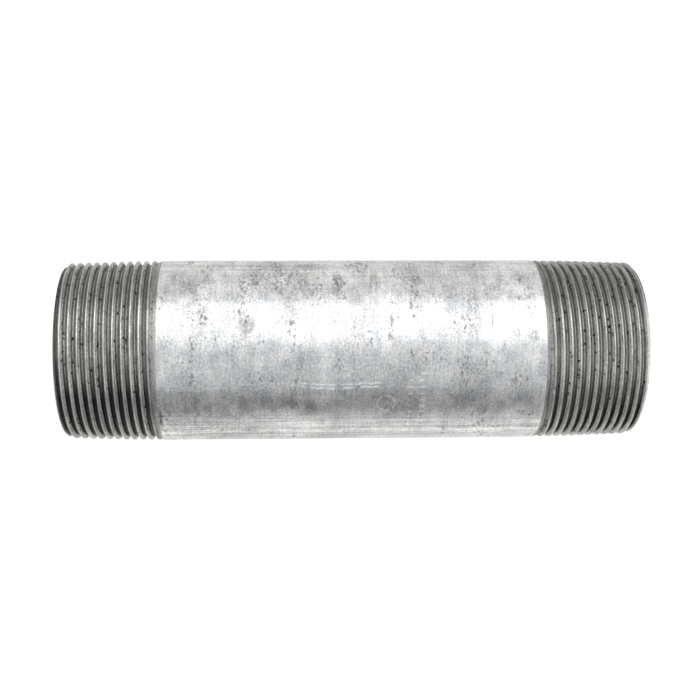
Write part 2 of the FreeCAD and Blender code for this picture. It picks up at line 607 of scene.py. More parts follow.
@dataclass(frozen=True)
class BarrelZinc:
    """Hot-dip zinc on the barrel: bright and cloudy, with drawn lines, rubs, specks and smudges.

    Places round the pipe are degrees from its top towards -Y, and places along it are in metres. Its tone
    also has painted light towards the right-hand end and painted shade along the far edge.
    """

    radius: float
    smudges: tuple[Smudge, ...] = ()
    name: str = "galvanised_barrel"
    cool: Colour = (0.535, 0.545, 0.558, 1.0)
    warm: Colour = (0.548, 0.545, 0.534, 1.0)
    dirt: Colour = (0.10, 0.085, 0.06, 1.0)
    rub_degrees: float = 23.5
    rub_spacing: float = 0.001
    ridge_degrees: float = 61.0
    seam_degrees: float = 67.0
    mark_along: float = 0.008
    mark_degrees: float = 35.0
    ring_radius: float = 0.0023
    dash_step: float = 0.0019
    dirt_along: float = 0.0447
    dirt_degrees: float = 44.0

    def arc(self, mix: Recipe) -> Socket:
        """The distance round the pipe from its top."""
        return mix.times(mix.turn, self.radius * MM)

    def at(self, degrees: float) -> float:
        """The distance round the pipe at which an angle lies."""
        return math.radians(degrees) * self.radius * MM

    def material(self) -> bpy.types.Material:
        """Wires the finish.

        Returns:
            The material.
        """
        mix = Recipe(self.name)
        patch = mix.noise((300.0, 210.0, 210.0), (2.0, 4.0, 1.0), detail=3.0, rough=0.6)
        grain = mix.noise((2000.0, 1700.0, 1700.0), rough=0.6)
        hoops = mix.noise((2400.0, 130.0, 130.0), (1.0, 8.0, 3.0), detail=3.0, rough=0.6)
        upper = mix.span(mix.turn, 0.1, -0.4)
        specks = self.specks(mix, upper)
        tone = mix.add(
            1.0,
            mix.span(mix.noise((90.0, 80.0, 80.0)), 0.2, 0.8, -0.20, 0.20),
            mix.span(patch, 0.2, 0.8, -0.18, 0.18),
            mix.span(grain, 0.2, 0.8, -0.26, 0.26),
            mix.span(hoops, 0.2, 0.8, -0.12, 0.12),
            # painted light: lighter towards the right-hand end
            mix.span(mix.axes[0], 0.028, 0.046, 0.0, 0.09),
            # painted shade: darker along the far edge of the pipe
            mix.span(mix.turn, -0.8, -1.15, 0.0, -0.16),
            self.draw_lines(mix),
            self.scuff(mix),
            self.mark(mix),
        )
        for dark in (mix.times(specks, 0.45), mix.times(self.smears(mix, upper), 0.2), self.smudged(mix)):
            tone = mix.times(tone, mix.less(1.0, dark))
        colour = mix.shaded(mix.toned(mix.span(patch, 0.35, 0.65), self.cool, self.warm), tone)
        bumps = [(patch, 0.00002), (hoops, 0.000008), (grain, 0.000012), (mix.less(1.0, specks), 0.00001)]
        return mix.dress(
            {
                "Base Color": mix.toned(self.dirty(mix), colour, self.dirt),
                "Metallic": 1.0,
                "Roughness": mix.add(mix.span(patch, 0.3, 0.75, 0.32, 0.42), mix.times(specks, 0.2)),
                "Normal": mix.relief(*bumps),
            }
        )

    def specks(self, mix: Recipe, upper: Socket) -> Socket:
        """Small grey specks in loose clusters.

        Args:
            mix: The material in the making.
            upper: 1 on the side where they are thick.

        Returns:
            1 in a speck, 0 outside.
        """
        fine = mix.noise((1350.0, 800.0, 800.0), (7.0, 3.0, 5.0), detail=3.0, rough=0.65)
        cluster = mix.noise((230.0, 85.0, 85.0), (3.0, 9.0, 4.0), detail=3.0, rough=0.6)
        crowd = mix.add(fine, mix.span(cluster, 0.4, 0.74, -0.07, 0.15), mix.times(upper, 0.03))
        return mix.span(crowd, 0.62, 0.73)

    def smears(self, mix: Recipe, upper: Socket) -> Socket:
        """Faint grey smears that run round the pipe.

        Args:
            mix: The material in the making.
            upper: 1 on the side where they lie.

        Returns:
            1 in a smear, 0 outside.
        """
        wide = mix.noise((260.0, 75.0, 75.0), (8.0, 1.0, 6.0), detail=3.0, rough=0.6)
        fine = mix.noise((1500.0, 700.0, 700.0), (2.0, 5.0, 8.0))
        share = mix.times(mix.span(wide, 0.52, 0.68), mix.span(fine, 0.35, 0.6))
        return mix.times(share, mix.add(mix.times(upper, 0.8), 0.2))

    def smudged(self, mix: Recipe) -> Socket:
        """The smudges, broken up by fine noise.

        Args:
            mix: The material in the making.

        Returns:
            How much darker they make the zinc.
        """
        broken = mix.noise((1300.0, 800.0, 800.0), (1.0, 9.0, 9.0), detail=3.0, rough=0.65)
        arc = self.arc(mix)
        dark = []
        for smudge in self.smudges:
            x = mix.math("DIVIDE", mix.less(mix.axes[0], smudge.along * MM), smudge.long * MM)
            y = mix.math("DIVIDE", mix.less(arc, self.at(smudge.degrees)), smudge.wide * MM)
            reach = mix.add(mix.times(x, x), mix.times(y, y))
            dark.append(mix.span(reach, 1.6, 0.0, 0.0, smudge.dark))
        return mix.math("MULTIPLY", mix.add(0.0, *dark), mix.span(broken, 0.36, 0.56), clamp=True)

    def draw_lines(self, mix: Recipe) -> Socket:
        """Light and dark lines along the pipe, beside the seam and on the far side.

        Args:
            mix: The material in the making.

        Returns:
            How much lighter or darker they make the zinc.
        """
        drawn = mix.noise((30.0, 1150.0, 1150.0), (0.0, 7.0, 2.0), detail=3.0, rough=0.6)
        beside_seam = mix.times(mix.span(mix.turn, 0.72, 0.9), 0.85)
        far_side = mix.times(mix.span(mix.turn, -0.75, -1.15), 0.5)
        share = mix.times(mix.span(drawn, 0.25, 0.75, -0.34, 0.34), mix.add(beside_seam, far_side, 0.08))
        for degrees, dark in ((-65.0, 0.16), (-52.0, 0.14)):
            line = mix.line(mix.turn, math.radians(degrees), 0.007)
            share = mix.less(share, mix.times(line, dark))
        return share

    def scuff(self, mix: Recipe) -> Socket:
        """Two pale rubs side by side along the pipe, and the pale ridge and thin dark line of the seam.

        Args:
            mix: The material in the making.

        Returns:
            How much lighter or darker they make the zinc.
        """
        wander = mix.noise((170.0, 20.0, 20.0))
        moved = mix.add(self.arc(mix), mix.span(wander, 0.2, 0.8, -0.0007, 0.0007))
        broken = mix.span(mix.noise((420.0, 300.0, 300.0)), 0.35, 0.6)
        rub = self.at(self.rub_degrees)
        rubs = mix.add(mix.line(moved, rub, 0.0003), mix.line(moved, rub - self.rub_spacing, 0.00026))
        reach = mix.add(mix.times(mix.line(mix.axes[0], -0.003, 0.0105), 0.5), 0.1)
        ridge = mix.line(moved, self.at(self.ridge_degrees), 0.0005)
        seam = mix.line(moved, self.at(self.seam_degrees), 0.00022)
        pale = mix.add(mix.times(rubs, reach, broken), mix.times(ridge, broken, 0.3))
        return mix.less(pale, mix.times(seam, 0.22))

    def mark(self, mix: Recipe) -> Socket:
        """A worn, meaningless stamp: a plain ring, with two rows of short dashes beside it.

        Args:
            mix: The material in the making.

        Returns:
            How much lighter it makes the zinc.
        """
        x = mix.less(mix.axes[0], self.mark_along)
        y = mix.less(self.arc(mix), self.at(self.mark_degrees))
        across = mix.math("SQRT", mix.add(mix.times(x, x), mix.times(y, y)))
        ring = mix.times(mix.line(across, self.ring_radius, 0.0002), 1.4)
        step = mix.math("FRACT", mix.math("DIVIDE", y, self.dash_step))
        dash = mix.span(mix.math("ABSOLUTE", mix.less(step, 0.5)), 0.17, 0.09)
        rows = mix.add(mix.line(x, 0.0062, 0.0006), mix.line(x, 0.0092, 0.0008))
        dashes = mix.times(dash, rows, mix.line(y, -0.0005, 0.008))
        worn = mix.noise((800.0, 600.0, 600.0), (4.0, 4.0, 1.0))
        return mix.times(mix.add(ring, dashes), mix.span(worn, 0.3, 0.55), 0.45)

    def dirty(self, mix: Recipe) -> Socket:
        """A few brown crumbs of dirt near the right-hand thread.

        Args:
            mix: The material in the making.

        Returns:
            How much of them covers the zinc.
        """
        crumbs = mix.noise((1500.0, 1700.0, 1700.0), (6.0, 6.0, 6.0), detail=3.0)
        streak = mix.line(self.arc(mix), self.at(self.dirt_degrees), 0.0009)
        area = mix.times(mix.line(mix.axes[0], self.dirt_along, 0.0021), streak)
        return mix.times(area, mix.span(crumbs, 0.47, 0.54), 0.9)


@dataclass(frozen=True)
class BoreZinc:
    """Hot-dip zinc in the bore: dull, runny and never wiped."""

    name: str = "galvanised_bore"
    bright: Colour = (0.62, 0.63, 0.64, 1.0)
    dull: Colour = (0.34, 0.35, 0.36, 1.0)

    def material(self) -> bpy.types.Material:
        """Wires the finish.

        Returns:
            The material.
        """
        mix = Recipe(self.name)
        runs = mix.noise((60.0, 260.0, 260.0), detail=4.0, rough=0.6)
        grain = mix.noise((1400.0, 1400.0, 1400.0), (4.0, 2.0, 6.0))
        faint = mix.span(grain, 0.3, 0.7, -0.1, 0.3)
        shade = mix.math("ADD", mix.span(runs, 0.3, 0.7, 0.0, 0.7), faint, clamp=True)
        return mix.dress(
            {
                "Base Color": mix.toned(shade, self.bright, self.dull),
                "Metallic": 0.9,
                "Roughness": mix.span(runs, 0.3, 0.7, 0.38, 0.6),
                "Normal": mix.relief((runs, 0.00008), (grain, 0.00002)),
            }
        )


@dataclass(frozen=True)
class WeldSteel:
    """The scarfed weld bead: blue-grey scale, and cutter marks across it."""

    name: str = "scarfed_weld"
    scale_colour: Colour = (0.20, 0.21, 0.23, 1.0)
    scraped: Colour = (0.45, 0.44, 0.42, 1.0)

    def material(self) -> bpy.types.Material:
        """Wires the finish.

        Returns:
            The material.
        """
        mix = Recipe(self.name)
        chatter = mix.noise((700.0, 200.0, 200.0), detail=3.0)
        return mix.dress(
            {
                "Base Color": mix.toned(mix.span(chatter, 0.4, 0.65), self.scale_colour, self.scraped),
                "Metallic": 0.9,
                "Roughness": mix.span(chatter, 0.3, 0.7, 0.6, 0.4),
                "Normal": mix.relief((chatter, 0.00005)),
            }
        )


@dataclass(frozen=True)
class PaleSheet:
    """The plain pale sheet that the pipe lies on, lit from below as on a light table."""

    name: str = "pale_sheet"
    colour: Colour = (0.16, 0.16, 0.158, 1.0)
    glow_colour: Colour = (1.0, 0.992, 0.975, 1.0)
    glow: float = 0.93

    def material(self) -> bpy.types.Material:
        """Wires the finish.

        Returns:
            The material.
        """
        return Recipe(self.name).dress(
            {
                "Base Color": self.colour,
                "Roughness": 0.9,
                "Specular IOR Level": 0.0,
                "Emission Color": self.glow_colour,
                "Emission Strength": self.glow,
            }
        )


# -------------------- pieces


@dataclass
class ThreadedEnd:
    """One end of the steel pipe: the taper thread, its run-out, the chamfer, the end face and the ream.

    The torn side, which faces the lamp and is painted lighter in its grooves, has its middle and its reach in
    degrees, and fades over an angle in radians. Each darkening share is what the steel loses of its
    brightness; on the far side that is painted shade, and painted light where the share is below 0. Points
    that lie within the snap of an edge move on to it.
    """

    end: End
    stock: Stock
    start_degrees: float
    pitch: float = 25.4 / 11.5
    taper: float = 1.0 / 32.0
    pitch_radius_at_face: float = 45.621 / 2.0
    flank_half_angle: float = math.radians(30.0)
    crest_share: float = 0.12
    root_share: float = 0.08
    throat_angle: float = math.radians(20.0)
    rim_width: float = 0.1
    skim_slope: float = 0.006
    run_in_turns: float = 1.3
    face_radius: float = 22.5
    chamfer_angle: float = math.radians(45.0)
    ream_depth: float = 0.7
    ream_width: float = 0.5
    torn_and_lit_degrees: float = 30.0
    torn_and_lit_reach: float = 77.0
    torn_and_lit_fade: float = 0.6
    chamfer_darkening: float = 0.55
    run_out_darkening: float = 0.34
    far_side_painted_light_and_shade: float = -0.11
    saw_wobble: float = 0.02
    snap: float = 0.02
    station_count: int = 360
    knocks: tuple[Knock, ...] = ()

    @property
    def thread_length(self) -> float:
        """How far the thread reaches in from the end face."""
        edge = self.stock.barrel_left if self.end is End.LEFT else self.stock.barrel_right
        return self.stock.half_length - abs(edge)

    @property
    def flank(self) -> float:
        """How far a flank leans along the axis for each millimetre that it rises."""
        return math.tan(self.flank_half_angle)

    @property
    def addendum(self) -> float:
        """The crest's height above the pitch line."""
        return (0.5 - self.crest_share) * self.pitch / 2.0 / self.flank

    @property
    def dedendum(self) -> float:
        """The root's depth below the pitch line."""
        return (0.5 - self.root_share) * self.pitch / 2.0 / self.flank

    def blank(self, depth: np.ndarray) -> np.ndarray:
        """The radius of the end before its thread is cut.

        Args:
            depth: Distances in from the end face.

        Returns:
            The radius: the chamfer, then the taper, then the cone that the die skims.
        """
        crest = self.pitch_radius_at_face + depth * self.taper + self.addendum
        chamfer = self.face_radius + depth * math.tan(self.chamfer_angle)
        skim = self.stock.steel_radius - (self.thread_length - depth) * self.skim_slope
        return np.minimum(np.minimum(crest, skim), chamfer)

    def cone(self, depth: np.ndarray) -> np.ndarray:
        """The radius of the cone that the last grooves' bottoms rise along.

        Args:
            depth: Distances in from the end face.

        Returns:
            The cone's radius.
        """
        to_rim = self.thread_length - self.rim_width - depth
        return self.stock.steel_radius - to_rim * math.tan(self.throat_angle)

    def groove_turns(self, angle: np.ndarray) -> np.ndarray:
        """Where the groove lies at each angle, in turns from its start.

        Args:
            angle: Angles about the axis, in radians.

        Returns:
            The part of the groove's turns that the angle settles; whole turns are added to it.
        """
        start = math.radians(self.start_degrees)
        if self.end is End.RIGHT:
            return (start - angle) / FULL_TURN
        return (angle - math.pi - start) / FULL_TURN

    def half_widths(self, middle: np.ndarray, root: np.ndarray, side: int) -> tuple[np.ndarray, np.ndarray]:
        """Where the bottom ends and the crest begins, on one side of a groove.

        Args:
            middle: The groove's depth in from the end face.
            root: The groove's full-depth radius there.
            side: -1 for the side towards the end face, 1 for the other.

        Returns:
            The half width at the bottom, and at the crest.
        """
        half_root = self.root_share * self.pitch / 2.0
        bottom = np.full_like(middle, half_root)
        top = np.full_like(middle, self.pitch / 3.0)
        for _ in range(8):
            lift = np.maximum(self.cone(middle + side * bottom) - root, 0.0)
            bottom = half_root + lift * self.flank
            top = half_root + (self.blank(middle + side * top) - root) * self.flank
        top = np.clip(top, half_root + 0.02, self.pitch / 2.0 - 0.03)
        return np.minimum(bottom, top - 0.01), top

    def columns(self, middle: np.ndarray, root: np.ndarray) -> np.ndarray:
        """The mesh's columns across one groove, from crest to crest, as distances from its middle.

        Args:
            middle: The groove's depth in from the end face, for each station and turn.
            root: The groove's full-depth radius there.

        Returns:
            The distances, with the columns on a new last axis.
        """
        flank_steps = (0.14, 0.32, 0.52, 0.72, 0.88)
        rounding = 0.045
        sides = {}
        for side in (-1, 1):
            bottom, top = self.half_widths(middle, root, side)
            steps = [bottom] + [bottom + (top - bottom) * step for step in flank_steps]
            outside = np.minimum(top + rounding, self.pitch / 2.0 - 0.01)
            sides[side] = [side * step for step in steps + [top, outside]]
        centre = [(sides[-1][0] + sides[1][0]) / 2.0]
        crest = [np.full_like(middle, self.pitch / 2.0)]
        return np.stack(sides[-1][::-1] + centre + sides[1] + crest, axis=-1)

    def surface(self, depth: np.ndarray, middle: np.ndarray, root: np.ndarray) -> np.ndarray:
        """The radius of the cut thread.

        Args:
            depth: Distances in from the end face.
            middle: The middle of the groove that each point belongs to.
            root: That groove's full-depth radius.

        Returns:
            The radius, with the crests rounder near the end face.
        """
        half_root = self.root_share * self.pitch / 2.0
        vee = root + np.maximum(np.abs(depth - middle) - half_root, 0.0) / self.flank
        groove = np.maximum(vee, self.cone(depth))
        roundness = 0.10 - 0.08 * np.clip(depth / 16.0, 0.0, 1.0)
        return smooth_lower(self.blank(depth), groove, roundness)

    def build(self) -> bpy.types.Object:
        """Builds the piece.

        Returns:
            The threaded end, as one closed mesh.
        """
        shell = Shell()
        angle = stations(self.station_count)
        turns = math.ceil(self.thread_length / self.pitch) + 4
        whole = np.arange(-2, turns)
        middle = (self.groove_turns(angle)[:, None] - self.run_in_turns + whole[None, :]) * self.pitch
        root = self.pitch_radius_at_face + middle * self.taper - self.dedendum
        offset = self.columns(middle, root)
        per_turn = offset.shape[-1]
        depth = (middle[..., None] + offset).reshape(len(angle), -1)
        own_middle = np.repeat(middle, per_turn, axis=1)
        own_root = np.repeat(root, per_turn, axis=1)
        depth = np.where(depth < self.snap, 0.0, depth)
        depth = np.where(depth > self.thread_length - self.snap, self.thread_length, depth)
        outside, inside = depth <= 0.0, depth >= self.thread_length
        edge = outside | inside
        radius = self.surface(depth, own_middle, own_root)
        radius = np.where(outside, self.face_radius, radius)
        radius = np.where(inside, self.stock.steel_radius, radius)
        radius = np.where(edge, radius, radius - self.wear(depth, angle[:, None], radius))
        lowness = np.clip((self.blank(depth) - radius) / (self.addendum + self.dedendum), 0.0, 1.0)
        numbers = shell.add(
            self.across(depth),
            angle[:, None],
            radius,
            depth=np.where(edge, 0.0, lowness),
            # outward: the end-facing flank, which the steel's finish paints as shade
            outward=np.clip((depth - own_middle) / 0.12 + 0.7, 0.0, 1.0),
            # the torn side's mask also sets where the grooves' painted shade is lighter
            torn=self.torn(depth, angle[:, None]),
            dimmed=self.dimmed(depth, angle[:, None]),
        )
        lead = outside.sum(axis=1) - 1
        tail = depth.shape[1] - inside.sum(axis=1)
        row, column = np.arange(len(angle)), np.arange(depth.shape[1])
        first, last = numbers[row, lead], numbers[row, tail]
        kept = np.clip(column[None, :], lead[:, None], tail[:, None])
        self.weave(shell, np.take_along_axis(numbers, kept, axis=1), per_turn)
        self.close(shell, angle, first, last)
        return shell.build(f"steel_pipe_{self.end.name.lower()}_thread")

    def weave(self, shell: Shell, numbers: np.ndarray, per_turn: int) -> None:
        """Adds the thread's faces. The last station joins the first one a whole turn of the thread along.

        Args:
            shell: The mesh in the making.
            numbers: The points' numbers, station by station.
            per_turn: How many columns there are to one turn.
        """
        column = np.arange(numbers.shape[1])
        shift = per_turn if self.end is End.LEFT else -per_turn
        wrapped = numbers[0, np.clip(column + shift, 0, len(column) - 1)]
        following = np.vstack([numbers[1:], wrapped[None, :]])
        quads = np.stack([numbers[:, :-1], numbers[:, 1:], following[:, 1:], following[:, :-1]], axis=-1)
        for quad in quads.reshape(-1, 4):
            corners = list(dict.fromkeys(quad.tolist()))
            if len(corners) > 2:
                shell.faces.append(tuple(corners))

    def torn(self, depth: np.ndarray, angle: np.ndarray) -> np.ndarray:
        """Where the die tore the steel rather than cut it, on the lamp's side, where the grooves' painted
        shade is lighter.

        Args:
            depth: Distances in from the end face.
            angle: Angles about the axis, in radians.

        Returns:
            1 where it's torn, 0 where it's clean.
        """
        uneven = ripple(spots(depth, angle, 24.0), (5.0, 6.0, 6.0), 17)
        ragged = np.abs(around(angle, self.torn_and_lit_degrees)) + 0.2 * uneven
        return np.clip((math.radians(self.torn_and_lit_reach) - ragged) / self.torn_and_lit_fade + 0.5, 0.0, 1.0)

    def dimmed(self, depth: np.ndarray, angle: np.ndarray) -> np.ndarray:
        """Where the steel is darker than elsewhere: on the chamfer, at the run-out, and as painted shade on
        the far side.

        Args:
            depth: Distances in from the end face.
            angle: Angles about the axis, in radians.

        Returns:
            The share of its brightness that the steel loses; below 0, it gains. On the far side this is
            painted shade, and painted light where it gains.
        """
        chamfer = np.clip((1.1 - depth) / 0.3, 0.0, 1.0)
        run_out = np.clip((depth - self.thread_length + 2.6) / 0.7, 0.0, 1.0)
        # painted shade on the far side; a share below 0 makes it painted light
        far_side_light_and_shade = np.clip((math.radians(62.0) - np.abs(around(angle, self.torn_and_lit_degrees))) / 0.45, 0.0, 1.0)
        return self.chamfer_darkening * chamfer + self.run_out_darkening * run_out + self.far_side_painted_light_and_shade * far_side_light_and_shade

    def wear(self, depth: np.ndarray, angle: np.ndarray, radius: np.ndarray) -> np.ndarray:
        """How much handling and a dull die have taken off the surface.

        Args:
            depth: Distances in from the end face.
            angle: Angles about the axis, in radians.
            radius: The radius of the clean thread.

        Returns:
            The lowering at each point, in millimetres.
        """
        points = spots(depth, angle, radius)
        crest = np.clip(1.0 - (self.blank(depth) - radius) / 0.35, 0.0, 1.0)
        chips = np.maximum(ripple(points, (2.2, 1.4, 1.4), 11) - 0.25, 0.0)
        lowering = crest * (0.012 * ripple(points, (1.1, 0.8, 0.8), 3) + 0.05 * chips)
        lowering += (1.0 - crest) * 0.02 * ripple(points, (0.5, 1.2, 1.2), 7)
        for knock in self.knocks:
            lowering += knock.lowering(depth, angle, self.stock.steel_radius)
        return lowering

    def across(self, depth: Numbers) -> Numbers:
        """Turns depth in from this end's face into distance along X."""
        return self.end.value * (self.stock.half_length - depth)

    def close(self, shell: Shell, angle: np.ndarray, first: np.ndarray, last: np.ndarray) -> None:
        """Adds the end face, the ream, the bore wall and the hidden inner face.

        Args:
            shell: The mesh in the making.
            angle: The stations' angles.
            first: The ring of points at the end face.
            last: The ring of points at the zinc's edge.
        """
        bore = self.stock.steel_bore_radius
        saw = ripple(spots(0.0, angle, 9.0), (1.0, 1.0, 1.0), 5)
        profile = [
            (0.0, self.face_radius - 0.25),
            (0.0, (self.face_radius + bore + self.ream_width) / 2.0),
            (0.0, bore + self.ream_width + 0.12),
            (0.03, bore + self.ream_width - 0.01),
            (self.ream_depth / 2.0, bore + self.ream_width / 2.0),
            (self.ream_depth, bore),
            (self.thread_length / 2.0, bore),
            (self.thread_length, bore),
        ]
        rings = [first]
        for depth, radius in profile:
            wobble = self.saw_wobble * saw if 0.0 < depth < self.ream_depth else 0.0
            rings.append(shell.add(self.across(depth), angle, radius + wobble))
        rings.append(last)
        for here, there in itertools.pairwise(rings):
            shell.join_rings(here, there)


@dataclass
class PipeWall:
    """The middle of the steel pipe, which the zinc hides."""

    stock: Stock
    station_count: int = 180

    def build(self) -> bpy.types.Object:
        """Builds the piece.

        Returns:
            The wall, as one closed mesh.
        """
        shell = Shell()
        angle = stations(self.station_count)
        left, right = self.stock.barrel_left, self.stock.barrel_right
        corners = [
            (left, self.stock.steel_bore_radius),
            (left, self.stock.steel_radius),
            (right, self.stock.steel_radius),
            (right, self.stock.steel_bore_radius),
        ]
        rings = [shell.add(along, angle, radius) for along, radius in corners]
        shell.join_round(rings)
        return shell.build("steel_pipe_wall")


@dataclass
class ZincBarrel:
    """The zinc skin between the threads, with the pipe's trimmed seam in it, and any small knocks that it is
    given.
    """

    stock: Stock
    station_count: int = 480
    row_count: int = 190
    seam_degrees: float = 155.0
    knocks: tuple[Knock, ...] = ()

    def relief(self, along: np.ndarray, angle: np.ndarray) -> np.ndarray:
        """How far the skin stands above, or below, its even radius.

        Args:
            along: Distances along X, in millimetres.
            angle: Angles about the axis, in radians.

        Returns:
            The heights, in millimetres.
        """
        radius = self.stock.outer_radius
        points = spots(along, angle, radius)
        height = 0.010 * ripple(points, (7.0, 4.0, 4.0), 21) + 0.006 * ripple(points, (2.4, 1.8, 1.8), 22)
        height += 0.004 * ripple(points, (14.0, 0.9, 0.9), 23)
        seam = around(angle, self.seam_degrees) * radius + 0.25 * np.sin(along / 17.0)
        height += 0.012 * np.exp(-((seam / 1.6) ** 2)) - 0.022 * np.exp(-(((seam - 1.5) / 0.3) ** 2))
        for knock in self.knocks:
            height -= knock.lowering(along, angle, radius)
        return np.clip(height, -0.06, 0.05)

    def build(self) -> bpy.types.Object:
        """Builds the piece.

        Returns:
            The skin, as one closed mesh.
        """
        shell = Shell()
        angle = stations(self.station_count)
        left, right = self.stock.barrel_left, self.stock.barrel_right
        near_edge = np.array([0.0, 0.04, 0.12])
        even = np.linspace(left + 0.4, right - 0.4, self.row_count)
        rows = np.concatenate([left + near_edge, even, right - near_edge[::-1]])
        along, turn = np.broadcast_arrays(rows[:, None], angle)
        from_edge = np.minimum(along - left, right - along)
        rounded = 0.05 * np.clip(1.0 - from_edge / 0.12, 0.0, 1.0) ** 2
        height = self.relief(along, turn)
        fade = np.clip(from_edge / 0.4, 0.0, 1.0)
        radius = self.stock.outer_radius + height * fade - rounded
        outside = shell.add(along, turn, radius)
        rings = list(outside)
        for row in np.linspace(right, left, 3):
            rings.append(shell.add(row, angle, self.stock.steel_radius))
        shell.join_round(rings)
        return shell.build("barrel_zinc_skin")


@dataclass
class ZincBore:
    """The zinc lining of the bore, with its runs and lumps, swelling over the weld bead."""

    stock: Stock
    station_count: int = 320
    row_count: int = 170
    bead_degrees: float = 155.0
    bead_width: float = 2.6
    bead_height: float = 0.18

    def build(self) -> bpy.types.Object:
        """Builds the piece.

        Returns:
            The lining, as one closed mesh.
        """
        shell = Shell()
        angle = stations(self.station_count)
        half = self.stock.bore_half_length
        along, turn = np.broadcast_arrays(np.linspace(-half, half, self.row_count)[:, None], angle)
        radius = self.stock.bore_radius
        points = spots(along, turn, radius)
        runs = np.maximum(ripple(points, (16.0, 3.0, 3.0), 31) + 0.1, 0.0)
        lumps = np.maximum(ripple(points, (3.0, 2.0, 2.0), 32) - 0.3, 0.0)
        across = around(turn, self.bead_degrees) * radius
        arch = np.clip(1.0 - (across / (self.bead_width / 2.0)) ** 2, 0.0, 1.0)
        bead = self.bead_height * arch * (1.0 + 0.2 * ripple(points, (4.0, 9.0, 9.0), 33))
        lining = shell.add(along, turn, radius - 0.10 * runs - 0.16 * lumps - bead - 0.02 * (arch > 0.0))
        rings = list(lining)
        for row in np.linspace(half, -half, 3):
            rings.append(shell.add(row, angle, self.stock.steel_bore_radius))
        shell.join_round(rings)
        return shell.build("bore_zinc_lining")


@dataclass
class WeldBead:
    """What scarfing left of the weld, under the lining."""

    stock: Stock
    degrees: float = 155.0
    width: float = 2.4
    height: float = 0.18
    columns: int = 9
    rows: int = 120

    def build(self) -> bpy.types.Object:
        """Builds the piece.

        Returns:
            The bead, as one closed mesh.
        """
        shell = Shell()
        half = self.stock.bore_half_length
        foot = self.stock.steel_bore_radius
        share = np.linspace(-1.0, 1.0, self.columns)
        spread = share * self.width / 2.0 / foot + math.radians(self.degrees)
        rings = []
        for along in np.linspace(-half, half, self.rows):
            place = np.stack(np.broadcast_arrays(along, share, 0.0), axis=-1)
            arch = self.height * (1.0 - share**2) * (0.9 + 0.1 * ripple(place, (2.0, 1.0, 1.0), 41))
            top = shell.add(along, spread, foot - arch)
            bottom = shell.add(along, spread[1:-1], foot)
            rings.append(np.concatenate([top, bottom[::-1]]))
        for here, there in itertools.pairwise(rings):
            shell.join_rings(here, there)
        for ring in (rings[0], rings[-1]):
            self.cap(shell, ring)
        return shell.build("weld_bead_bar")

    def cap(self, shell: Shell, ring: np.ndarray) -> None:
        """Closes one end of the bar with a row of faces.

        Args:
            shell: The mesh in the making.
            ring: The points round the bar's end: the arch, and then the foot back again.
        """
        arch = list(ring[: self.columns])
        foot = [arch[0]] + list(ring[self.columns :])[::-1] + [arch[-1]]
        for i in range(self.columns - 1):
            shell.faces.append(tuple(dict.fromkeys([arch[i], arch[i + 1], foot[i + 1], foot[i]])))


# -------------------- studio


